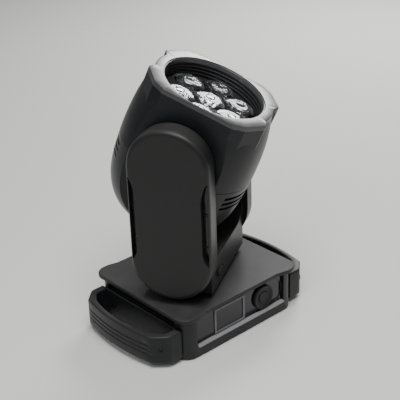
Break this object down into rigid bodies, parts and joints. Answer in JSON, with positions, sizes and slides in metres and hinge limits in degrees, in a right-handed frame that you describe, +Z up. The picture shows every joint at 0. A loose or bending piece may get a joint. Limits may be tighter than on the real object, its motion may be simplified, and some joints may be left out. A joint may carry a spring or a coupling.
{
  "type": "moving head light",
  "caption": "Compact moving head wash light: a bullet-shaped head with hexagonal lenses tilts in a two-armed yoke that pans on a low base with side handles.",
  "frame": {"origin": "centre of the base on the surface that the feet stand on", "axes": "+Z up, the display side faces -Y, +X is on the right of someone who reads the display"},
  "size_m": [0.318, 0.2355, 0.3969],
  "materials": {
    "rubber": "matte",
    "painted_steel": "fine textured powder coat",
    "zinc_steel": "zinc plated",
    "base_black": "fine moulded grain",
    "plate_black": "satin fine grain",
    "panel_gloss": "gloss",
    "trim_grey": "satin",
    "display_glass": "polished",
    "circuit_board": "solder mask",
    "dial_black": "satin",
    "socket_black": "matte",
    "screw_black": "black oxide",
    "aluminium": "machined",
    "yoke_black": "satin black powder coat on a casting",
    "cover_black": "fine moulded grain",
    "trim_gloss": "gloss",
    "motor_black": "satin",
    "brass": "machined",
    "bezel_grey": "satin",
    "head_black": "satin, fine moulded grain",
    "barrel_black": "matte",
    "lens_clear": "polished",
    "fan_black": "satin",
    "hub_black": "satin"
  },
  "bodies": {
    "base": {"feet": "rubber", "floor_plate": "painted_steel", "clamp_sockets": "zinc_steel", "safety_eye": "zinc_steel", "base_tub": "base_black", "top_plate": "plate_black", "handle_right": "base_black", "handle_left": "base_black", "side_grilles": "base_black", "front_panel": "panel_gloss", "display_frame": "trim_grey", "display_window": "display_glass", "display_module": "circuit_board", "trim_strip": "trim_grey", "rear_panel": "painted_steel", "power_inlet": "socket_black", "power_outlet": "socket_black", "data_inlet": "zinc_steel", "data_outlet": "zinc_steel", "base_screws": "screw_black", "power_supply": "aluminium", "control_board": "circuit_board", "pan_spindle": "aluminium", "pan_pulley": "aluminium"},
    "jog_dial": {"jog_dial": "dial_black"},
    "dial_button": {"dial_button": "dial_black"},
    "yoke": {"yoke_frame": "yoke_black", "crossbar_lid": "yoke_black", "arm_cover_right": "cover_black", "arm_cover_left": "cover_black", "arm_trims": "trim_gloss", "cover_screws": "screw_black", "bearings": "zinc_steel", "pan_motor": "motor_black", "pan_belt": "rubber", "tilt_motor": "motor_black", "tilt_belt": "rubber", "driver_board": "circuit_board"},
    "pan_pinion": {"pan_pinion": "brass"},
    "tilt_pinion": {"tilt_pinion": "brass"},
    "pan_lock": {"pan_lock": "dial_black"},
    "tilt_lock": {"tilt_lock": "dial_black"},
    "head": {"bezel": "bezel_grey", "front_housing": "head_black", "rear_housing": "head_black", "barrel": "barrel_black", "led_board": "circuit_board", "light_rods": "lens_clear", "heat_sink": "aluminium", "head_chassis": "zinc_steel", "fan_frame": "fan_black", "zoom_motor": "motor_black", "tilt_shafts": "aluminium", "tilt_pulley": "aluminium", "hub_rings": "hub_black"},
    "lens_carriage": {"lens_plate": "barrel_black", "lenses": "lens_clear", "guide_rods": "zinc_steel"},
    "zoom_screw": {"zoom_screw": "zinc_steel"},
    "fan_rotor": {"fan_rotor": "fan_black"}
  },
  "joints": [
    {"name": "pan", "type": "hinge", "parent": "base", "child": "yoke", "pos_m": [0, 0, 0.08], "axis": [0, 0, 1], "range_deg": [-300, 240]},
    {"name": "tilt", "type": "hinge", "parent": "yoke", "child": "head", "pos_m": [0, 0, 0.278], "axis": [0.866, 0.5, 0], "range_deg": [-138, 90]},
    {"name": "zoom_slide", "type": "slide", "parent": "head", "child": "lens_carriage", "axis": [0.2034, -0.3522, 0.9135], "range_m": [-0.012, 0.004]},
    {"name": "zoom_screw_spin", "type": "hinge", "parent": "head", "child": "zoom_screw", "pos_m": [0.02786, -0.04826, 0.25319], "axis": [0.2034, -0.3522, 0.9135], "range_deg": [-545, 185]},
    {"name": "fan_spin", "type": "hinge", "parent": "head", "child": "fan_rotor", "pos_m": [-0.01424, 0.02466, 0.21405], "axis": [0.2034, -0.3522, 0.9135], "continuous": true},
    {"name": "pan_pinion_spin", "type": "hinge", "parent": "yoke", "child": "pan_pinion", "pos_m": [0.04677, 0.027, 0.096], "axis": [0, 0, 1], "range_deg": [-965, 1205]},
    {"name": "tilt_pinion_spin", "type": "hinge", "parent": "yoke", "child": "tilt_pinion", "pos_m": [0, 0, 0.1045], "axis": [0.866, 0.5, 0], "range_deg": [-490, 320]},
    {"name": "pan_lock_slide", "type": "slide", "parent": "yoke", "child": "pan_lock", "axis": [0.866, 0.5, 0], "range_m": [0, 0.008]},
    {"name": "tilt_lock_slide", "type": "slide", "parent": "yoke", "child": "tilt_lock", "axis": [0, 0, 1], "range_m": [0, 0.006]},
    {"name": "dial_spin", "type": "hinge", "parent": "base", "child": "jog_dial", "pos_m": [0.0465, -0.095, 0.0415], "axis": [0, -1, 0], "continuous": true},
    {"name": "dial_press", "type": "slide", "parent": "base", "child": "dial_button", "axis": [0, 1, 0], "range_m": [0, 0.0015], "stiffness_N_per_m": 600, "springref_m": -0.001}
  ],
  "couplings": [
    {"joint": "pan_pinion_spin", "follows": "pan", "ratio": -4},
    {"joint": "tilt_pinion_spin", "follows": "tilt", "ratio": 3.5},
    {"joint": "zoom_screw_spin", "follows": "zoom_slide", "rad_per_m": 785.4}
  ]
}
